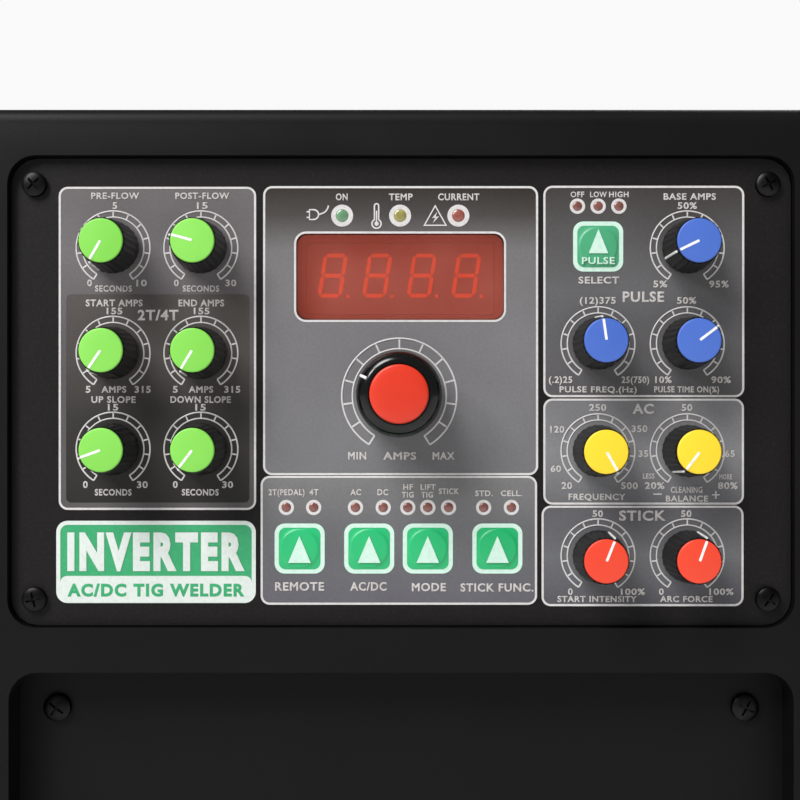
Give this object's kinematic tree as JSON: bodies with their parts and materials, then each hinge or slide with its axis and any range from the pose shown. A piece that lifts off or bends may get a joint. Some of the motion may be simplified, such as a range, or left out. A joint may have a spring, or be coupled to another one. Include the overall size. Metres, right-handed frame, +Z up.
{
  "type": "tig welding machine",
  "caption": "Portable AC/DC TIG welder: green sheet-metal case with black moulded ends, colour-coded control knobs, keys, red display, output sockets and rear fan.",
  "frame": {"origin": "on the floor, under the middle of the machine's bounding box", "axes": "+Z up, -Y out of the control panel, +X to the right of someone facing the panel"},
  "size_m": [0.25, 0.562, 0.47],
  "materials": {
    "bezel_plastic": "textured black ABS",
    "panel_print": "black plate with a printed overlay",
    "case_paint": "green powder coat",
    "base_paint": "dark grey powder coat",
    "foot_rubber": "moulded rubber",
    "knob_plastic": "satin black nylon",
    "green_cap": "satin green",
    "blue_cap": "satin blue",
    "yellow_cap": "satin yellow",
    "red_cap": "satin red",
    "key_green": "embossed green key",
    "display_red": "red display lens",
    "board": "green circuit board",
    "aluminium": "extruded",
    "brass": "machined",
    "steel_wire": "zinc plated",
    "socket_insulator": "glass-filled nylon",
    "copper": "copper windings on ferrite"
  },
  "bodies": {
    "machine": {"base_chassis": "base_paint", "front_bezel": "bezel_plastic", "rear_bezel": "bezel_plastic", "case_cover": "case_paint", "carry_handle": "base_paint", "foot_front_left": "foot_rubber", "foot_front_right": "foot_rubber", "foot_rear_left": "foot_rubber", "foot_rear_right": "foot_rubber", "control_panel_plate": "panel_print", "display_window": "display_red", "control_board": "board", "negative_output_socket": "socket_insulator", "positive_output_socket": "socket_insulator", "gas_outlet_fitting": "brass", "remote_control_socket": "steel_wire", "power_switch_body": "bezel_plastic", "cable_gland": "socket_insulator", "fan_frame": "bezel_plastic", "fan_guard": "steel_wire", "inverter_board": "board", "heat_sink": "aluminium", "main_transformer": "copper", "gas_solenoid_valve": "brass", "arc_starter_coil": "copper"},
    "pre_flow": {"pre_flow_knob": "knob_plastic", "pre_flow_cap": "green_cap"},
    "post_flow": {"post_flow_knob": "knob_plastic", "post_flow_cap": "green_cap"},
    "start_amps": {"start_amps_knob": "knob_plastic", "start_amps_cap": "green_cap"},
    "end_amps": {"end_amps_knob": "knob_plastic", "end_amps_cap": "green_cap"},
    "up_slope": {"up_slope_knob": "knob_plastic", "up_slope_cap": "green_cap"},
    "down_slope": {"down_slope_knob": "knob_plastic", "down_slope_cap": "green_cap"},
    "base_amps": {"base_amps_knob": "knob_plastic", "base_amps_cap": "blue_cap"},
    "pulse_frequency": {"pulse_frequency_knob": "knob_plastic", "pulse_frequency_cap": "blue_cap"},
    "pulse_time_on": {"pulse_time_on_knob": "knob_plastic", "pulse_time_on_cap": "blue_cap"},
    "ac_frequency": {"ac_frequency_knob": "knob_plastic", "ac_frequency_cap": "yellow_cap"},
    "cleaning_balance": {"cleaning_balance_knob": "knob_plastic", "cleaning_balance_cap": "yellow_cap"},
    "start_intensity": {"start_intensity_knob": "knob_plastic", "start_intensity_cap": "red_cap"},
    "arc_force": {"arc_force_knob": "knob_plastic", "arc_force_cap": "red_cap"},
    "main_amps": {"main_amps_knob": "knob_plastic", "main_amps_cap": "red_cap"},
    "remote_button": {"remote_button": "key_green"},
    "ac_dc_button": {"ac_dc_button": "key_green"},
    "mode_button": {"mode_button": "key_green"},
    "stick_function_button": {"stick_function_button": "key_green"},
    "pulse_button": {"pulse_button": "key_green"},
    "power_switch": {"power_switch_lever": "knob_plastic"},
    "fan": {"fan_rotor": "bezel_plastic"}
  },
  "joints": [
    {"name": "pre_flow_turn", "type": "hinge", "parent": "machine", "child": "pre_flow", "pos_m": [-0.082, -0.259, 0.3805], "axis": [0, 1, 0], "range_deg": [0, 300]},
    {"name": "post_flow_turn", "type": "hinge", "parent": "machine", "child": "post_flow", "pos_m": [-0.057, -0.259, 0.3805], "axis": [0, 1, 0], "range_deg": [-75, 225]},
    {"name": "start_amps_turn", "type": "hinge", "parent": "machine", "child": "start_amps", "pos_m": [-0.082, -0.259, 0.3505], "axis": [0, 1, 0], "range_deg": [-4, 296]},
    {"name": "end_amps_turn", "type": "hinge", "parent": "machine", "child": "end_amps", "pos_m": [-0.057, -0.259, 0.3505], "axis": [0, 1, 0], "range_deg": [-1, 299]},
    {"name": "up_slope_turn", "type": "hinge", "parent": "machine", "child": "up_slope", "pos_m": [-0.082, -0.259, 0.3232], "axis": [0, 1, 0], "range_deg": [-40, 260]},
    {"name": "down_slope_turn", "type": "hinge", "parent": "machine", "child": "down_slope", "pos_m": [-0.057, -0.259, 0.3232], "axis": [0, 1, 0], "range_deg": [-7, 293]},
    {"name": "base_amps_turn", "type": "hinge", "parent": "machine", "child": "base_amps", "pos_m": [0.0815, -0.259, 0.3805], "axis": [0, 1, 0], "range_deg": [-34, 266]},
    {"name": "pulse_frequency_turn", "type": "hinge", "parent": "machine", "child": "pulse_frequency", "pos_m": [0.0561, -0.259, 0.3532], "axis": [0, 1, 0], "range_deg": [-142, 158]},
    {"name": "pulse_time_on_turn", "type": "hinge", "parent": "machine", "child": "pulse_time_on", "pos_m": [0.0815, -0.259, 0.3532], "axis": [0, 1, 0], "range_deg": [-203, 97]},
    {"name": "ac_frequency_turn", "type": "hinge", "parent": "machine", "child": "ac_frequency", "pos_m": [0.0561, -0.259, 0.3227], "axis": [0, 1, 0], "range_deg": [-300, 0]},
    {"name": "cleaning_balance_turn", "type": "hinge", "parent": "machine", "child": "cleaning_balance", "pos_m": [0.0815, -0.259, 0.3227], "axis": [0, 1, 0], "range_deg": [-7, 293]},
    {"name": "start_intensity_turn", "type": "hinge", "parent": "machine", "child": "start_intensity", "pos_m": [0.0561, -0.259, 0.2928], "axis": [0, 1, 0], "range_deg": [-172, 128]},
    {"name": "arc_force_turn", "type": "hinge", "parent": "machine", "child": "arc_force", "pos_m": [0.0815, -0.259, 0.2928], "axis": [0, 1, 0], "range_deg": [-170, 130]},
    {"name": "main_amps_turn", "type": "hinge", "parent": "machine", "child": "main_amps", "pos_m": [-0.0005, -0.259, 0.3384], "axis": [0, 1, 0], "range_deg": [-86, 214]},
    {"name": "remote_press", "type": "slide", "parent": "machine", "child": "remote_button", "axis": [0, 1, 0], "range_m": [0, 0.0008], "stiffness_N_per_m": 500},
    {"name": "ac_dc_press", "type": "slide", "parent": "machine", "child": "ac_dc_button", "axis": [0, 1, 0], "range_m": [0, 0.0008], "stiffness_N_per_m": 500},
    {"name": "mode_press", "type": "slide", "parent": "machine", "child": "mode_button", "axis": [0, 1, 0], "range_m": [0, 0.0008], "stiffness_N_per_m": 500},
    {"name": "stick_function_press", "type": "slide", "parent": "machine", "child": "stick_function_button", "axis": [0, 1, 0], "range_m": [0, 0.0008], "stiffness_N_per_m": 500},
    {"name": "pulse_press", "type": "slide", "parent": "machine", "child": "pulse_button", "axis": [0, 1, 0], "range_m": [0, 0.0008], "stiffness_N_per_m": 500},
    {"name": "power_switch_tip", "type": "hinge", "parent": "machine", "child": "power_switch", "pos_m": [-0.068, 0.238, 0.12], "axis": [1, 0, 0], "range_deg": [0, 50]},
    {"name": "fan_spin", "type": "hinge", "parent": "machine", "child": "fan", "pos_m": [0, 0.225, 0.286], "axis": [0, 1, 0], "continuous": true}
  ]
}
